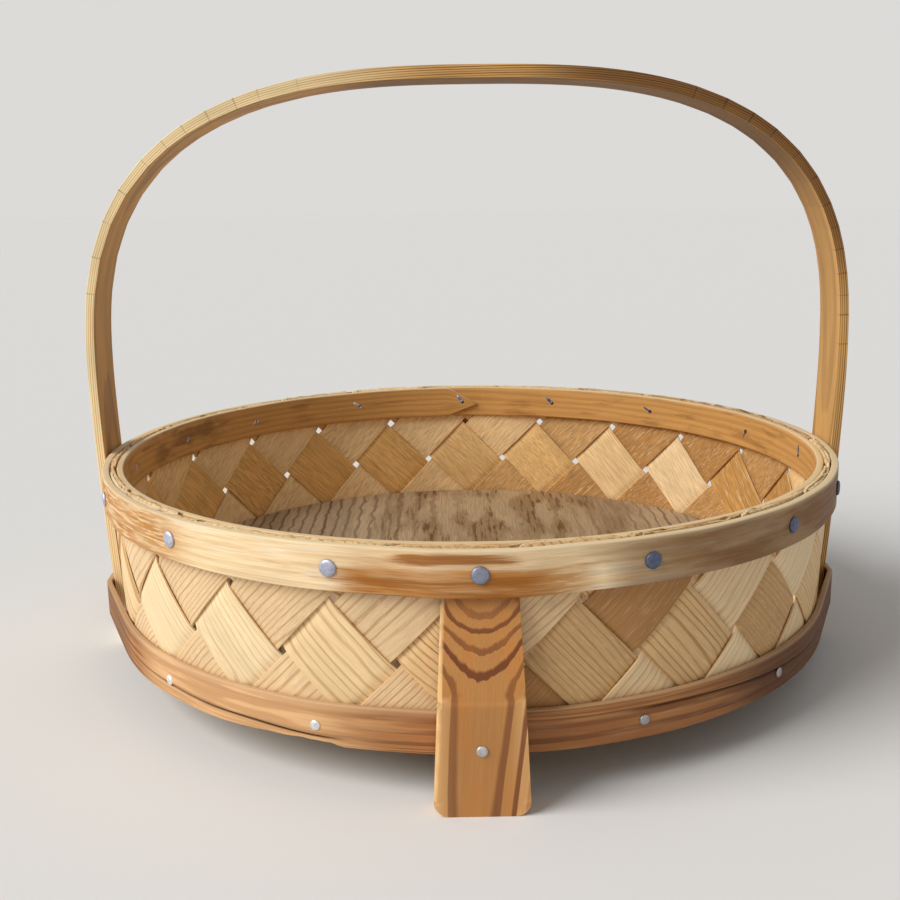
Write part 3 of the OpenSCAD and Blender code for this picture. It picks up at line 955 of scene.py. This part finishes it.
def handle_finish():
    material, log, finish = new_wood("handle_wood")
    # Painted light at the left and painted shade over the right shoulder, as lit and shaded copies of the
    # colours; the rings show less on the broad faces.
    painted_left_light = ease(finish["X"], 0.0, 1.0)
    painted_shoulder_shade = ease(finish["X"], 0.0, -1.0)
    mixed = []
    for plain, pale, brown in (((212, 164, 100), (255, 236, 188), (120, 82, 46)),
                               ((120, 74, 34), (236, 176, 106), (62, 36, 16))):
        colour = tint(shade(*plain), painted_left_light, 0.95, pale)
        mixed.append(tint(colour, painted_shoulder_shade, 0.9, brown))
    lined = scaled(ease(finish["Y"], 0.0, 0.2), -0.55, 1.0)
    grain = grain_of(log, 0.85 * mm, 0.7 * mm, 120 * mm, lined, 0.5, *mixed)
    warm = streaks(log, 70, 8, 0.42, 0.62)
    colour = toned(grain["Color"], scaled(warm, -0.14, 1.04))
    # Painted shade on the underside inside the arch, and dark in the cracks
    colour = tint(colour, ease(finish["Y"], 0.2, 1.0), 0.6, (70, 44, 20))
    colour = tint(colour, finish["Z"], 1.0, (52, 30, 16))
    oil(colour, grain["Height"], 0.66, 0.28, handle_gloss)
    return material


def build_handle():
    half, on_curve = handle_places()
    cracks = sorted([-s for s in right_cracks] + left_cracks)
    crack_half = 0.35 * mm
    longest_flat = 40 * mm
    straightness = 0.6
    half_steps = 60
    # The blank is 1 mm thick, and bending it gives it its thickness at each place.
    blank_t = 1.0 * mm
    blank_edge = 0.1 * mm
    even = [half * (k / half_steps - 1) for k in range(1, 2 * half_steps)]
    stations = [c + off for c in cracks for off in (-crack_half, 0, crack_half)]
    stations += [s for s in even if min(abs(s - c) for c in cracks) > 1.5 * mm]
    width = handle_high.y - handle_low.y
    lines = [width * share for share in (-0.4, -0.2, 0, 0.2, 0.4)]
    bm = sawn_strip(-half, half, width, blank_t, blank_edge, stations, lines)

    def kinked(s):
        """The strip is nearly straight between two neighbouring cracks of a shoulder."""
        smooth, normal, thickness = on_curve(s)
        after = next((c for c in cracks if c > s), None)
        before = next((c for c in reversed(cracks) if c <= s), None)
        if after is None or before is None or after - before > longest_flat:
            return smooth, normal, thickness
        share = (s - before) / (after - before)
        (p, n, t), (q, m, u) = on_curve(before), on_curve(after)
        flat = smooth.lerp(p.lerp(q, share), straightness)
        steady = normal.lerp(n.lerp(m, share), straightness).normalized()
        return flat, steady, t + (u - t) * share

    curve = {}
    for v in bm.verts:
        key = round(v.co.x, 7)
        if key not in curve:
            curve[key] = kinked(v.co.x)

    def crack_at(co):
        """How deep the nearest crack is: only at the strip's edges, deepest outside, fainter at the left."""
        nearest = min(cracks, key=lambda c: abs(co.x - c))
        luck = random.Random(round(nearest / mm))
        deep = luck.uniform(0.3, 0.65) if nearest > 0 else luck.uniform(0.5, 1.0)
        deep *= 1 - luck.uniform(0.1, 0.9) * (0.5 - co.z / blank_t)
        at_edge = fade((width / 2 - abs(co.y)) / (3.5 * mm))
        return deep * at_edge * max(0.0, 1 - abs(co.x - nearest) / (crack_half * 0.9))

    def log(co):
        thickness = curve[round(co.x, 7)][2]
        return (co.x, co.y, 90 * mm + co.z / blank_t * thickness + 2 * mm * math.sin(co.x * 9))

    def finish(co):
        inside = fade((co.z + blank_t / 2) / blank_edge)
        flat = fade((blank_t / 2 - abs(co.z)) / blank_edge)
        # Painted light along the left and painted shade over the right shoulder, on all but the inner face
        painted_left_light = fade((88 * mm - co.x) / (95 * mm))
        painted_shoulder_shade = patch(co.x, -112 * mm, 47 * mm, 65 * mm)
        # Painted shade on the inner face under the arch
        painted_underside_shade = patch(co.x, -50 * mm, 70 * mm, 60 * mm)
        tone_and_shade = (painted_left_light - painted_shoulder_shade) * (1 - inside)
        return (tone_and_shade, 0.2 * flat + 0.8 * inside * painted_underside_shade, crack_at(co))

    note(bm, log, finish)
    for v in bm.verts:
        point, normal, thickness = curve[round(v.co.x, 7)]
        y = v.co.y * (1 - 0.02 * crack_at(v.co))
        v.co = point + normal * (thickness * (v.co.z / blank_t - 0.5)) + Vector((0, y, 0))
    fit_piece(bm, "handle", handle_finish())


build_handle()

# Rivets
# Soft steel rivets with low domed heads, driven in from outside through the hoops and splints. Their points
# are bent over on the inner hoop: 12 in the wall, one over each foot and one through each leg of the handle.
rivet_z = rim_low.z + 7.6 * mm
rivet_d = 5.6 * mm
rivet_h = 1.1 * mm
shank_d = 1.8 * mm
rim_rivets_at = (21, 46, 68, 111, 137, 160, 203, 228, 248, 292, 317, 342)


def steel_finish(name, bright, dull, rough):
    """Steel that is painted bright at the left of the basket and dull towards the right, as painted light and
    painted shade.
    """
    material, tree = new_finish(name)
    place = add("ShaderNodeTexCoord", tree=tree).outputs["Object"]
    cloud = spots(place, (1.4, 1.4, 1.4), 3.0)
    scuff = spots(place, (0.35, 0.35, 0.35))
    to_right = add("ShaderNodeSeparateXYZ", {0: place}).outputs["X"]
    # Painted light at the left and painted shade towards the right
    colour = tint(shade(*bright), ease(to_right, -100 * mm, 60 * mm), 1.0, dull)
    colour = toned(colour, scaled(ease(cloud, 0.38, 0.62), 0.24, 0.88))
    height = scaled(scuff, 0.4, cloud)
    shader = coat(colour, scaled(scuff, 0.3, rough), height, 0.4, 0.2 * mm)
    shader.inputs["Metallic"].default_value = 0.75
    return material


def turned_pin(bm, d, h, length):
    """A pin along Z: a low domed head above 0 and a shank that ends that far below it. Gives its end."""
    ring = bmesh.ops.create_circle(bm, cap_ends=True, segments=24, radius=d / 2)["verts"]
    crown = push(bm, ring[0].link_faces[0], (0, 0, 0.45 * h))
    for share, rise in ((0.10, 0.26), (0.22, 0.18), (0.30, 0.08)):
        bmesh.ops.inset_region(bm, faces=[crown], thickness=share * d / 2, depth=rise * h,
                               use_even_offset=True)
    under = bmesh.ops.contextual_create(bm, geom=ring)["faces"][0]
    bmesh.ops.inset_region(bm, faces=[under], thickness=(d - shank_d) / 2, depth=0, use_even_offset=True)
    return push(bm, under, (0, 0, -length))


def clinch(bm, end, way):
    """Bends a pin's end over to one side and hammers it to a small flat leaf with a point."""
    top = end.calc_center_median()
    side = Vector((math.cos(way), math.sin(way), 0))
    hinge = top + side * 0.6 * shank_d
    bend = Matrix.Rotation(-math.pi / 2, 3, side.cross((0, 0, 1)))
    end = push(bm, end, (0, 0, 0))
    bmesh.ops.rotate(bm, cent=hinge, matrix=bend, verts=end.verts)
    for reach, widen, thin in ((0.0, 1.0, 0.5), (1.4 * mm, 1.3, 0.9), (1.9 * mm, 0.25, 0.4)):
        end = push(bm, end, side * reach, widen) if reach else end
        bmesh.ops.scale(bm, vec=(1, 1, thin), verts=end.verts, space=Matrix.Translation(-top))


def drive_pins(node, azimuths, size, head_r, z, length, steel, clinched):
    """Makes pins with clinched or sharp ends and sets them in the wall with their heads outwards."""
    bm = bmesh.new()
    for a in azimuths:
        before = set(bm.verts)
        end = turned_pin(bm, *size, length)
        if clinched:
            clinch(bm, end, random.Random(a).uniform(0, 2 * math.pi))
        else:
            push(bm, end, (0, 0, -shank_d), 0.15)
        azimuth = math.radians(a)
        across = around(azimuth + math.pi / 2, 1, 0)
        aim = Matrix((across, (0, 0, 1), around(azimuth, 1, 0))).transposed().to_4x4()
        bmesh.ops.transform(bm, matrix=Matrix.Translation(around(azimuth, head_r, z)) @ aim,
                            verts=[v for v in bm.verts if v not in before])
    fit_piece(bm, node, steel, "steel")


def build_rivets():
    steel = steel_finish("rivet_steel", (200, 202, 216), (90, 98, 120), 0.34)
    inner_r = wall_r(rivet_z) - weave_t / 2 - fit - inner_hoop_t
    for node, azimuths, head_r in (("rim_rivets", rim_rivets_at, rim_high.x),
                                   ("foot_rivets", (0, 180), -rim_low.y),
                                   ("handle_rivets", (90, 270), leg_r(rivet_z))):
        length = head_r - inner_r + 0.15 * mm
        drive_pins(node, azimuths, (rivet_d, rivet_h), head_r, rivet_z, length, steel, True)


build_rivets()

# Nails
# Small bright steel nails, driven through the band and the splints into the edge of the base board: eight in
# the band, one through each foot and one through the band and each end of the handle.
nail_z = 22 * mm
nail_d = 3.6 * mm
nail_h = 0.8 * mm
nail_bite = 14 * mm
base_nails_at = (21, 46, 134, 159, 201, 226, 313, 339)


def build_nails():
    steel = steel_finish("nail_steel", (250, 250, 252), (162, 158, 158), 0.22)
    for node, azimuths, head_r in (("base_nails", base_nails_at, band_r + band_t),
                                   ("foot_nails", (0, 180), -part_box("foot_front")[0].y),
                                   ("handle_nails", (90, 270), band_high.x)):
        length = head_r - board_high.x + nail_bite - 2 * shank_d
        drive_pins(node, azimuths, (nail_d, nail_h), head_r, nail_z, length, steel, False)


build_nails()

# Floor, light and camera
# A plain pale floor under soft light that comes mostly from the left, seen from a low place in front.
floor_r = 12.0
floor_shade = (0.80, 0.79, 0.77, 1.0)
backdrop_tint = (1.0, 0.988, 0.965, 1.0)
room_level = 0.34
backdrop_level = 0.715
window_place = Vector((-1.1, -0.5, 0.95))
window_spread = math.radians(40)
window_strength = 2.75
camera_place = Vector((-10.07, -475.47, 187.1)) * mm
camera_pitch = math.radians(12.595)
camera_yaw = math.radians(0.282)
camera_roll = math.radians(-0.806)
camera_lens = 45.62
camera_sensor = 36.0


def lay_floor():
    bm = bmesh.new()
    bmesh.ops.create_circle(bm, cap_ends=True, segments=64, radius=floor_r)
    material, tree = new_finish("floor_paint")
    shader = tree.nodes["Principled BSDF"]
    shader.inputs["Base Color"].default_value = floor_shade
    shader.inputs["Roughness"].default_value = 0.9
    shader.inputs["Specular IOR Level"].default_value = 0.1
    floor = stand_mesh(bm, "floor", material)


def light_room():
    """An even soft light from all around, with a paler backdrop where it is seen or mirrored."""
    world = bpy.data.worlds.new("room")
    world.use_nodes = True
    tree = world.node_tree
    path = add("ShaderNodeLightPath", tree=tree).outputs
    seen = calc("MAXIMUM", path["Is Glossy Ray"], path["Is Transmission Ray"])
    seen = calc("MAXIMUM", path["Is Camera Ray"], seen)
    strength = scaled(seen, backdrop_level - room_level, room_level)
    background = tree.nodes["Background"]
    tree.links.new(strength, background.inputs["Strength"])
    tree.links.new(blend(seen, (1, 1, 1, 1), backdrop_tint), background.inputs["Color"])
    bpy.context.scene.world = world


def hang_lamp():
    """A broad soft light that is even over the whole floor, as from a window."""
    lamp = bpy.data.lights.new("window", "SUN")
    lamp.angle = window_spread
    lamp.energy = window_strength
    holder = stand("window", lamp)
    holder.location = window_place
    holder.rotation_mode = "QUATERNION"
    holder.rotation_quaternion = (-window_place).to_track_quat("-Z", "Y")


def set_camera():
    camera = bpy.data.cameras.new("camera")
    camera.lens = camera_lens
    camera.sensor_width = camera_sensor
    holder = stand("camera", camera)
    yaw = Matrix.Rotation(-camera_yaw, 4, "Z")
    pitch = Matrix.Rotation(math.pi / 2 - camera_pitch, 4, "X")
    roll = Matrix.Rotation(camera_roll, 4, "Z")
    holder.matrix_world = Matrix.Translation(camera_place) @ yaw @ pitch @ roll
    bpy.context.scene.camera = holder


lay_floor()
light_room()
hang_lamp()
set_camera()
bpy.context.scene.view_settings.view_transform = "Standard"
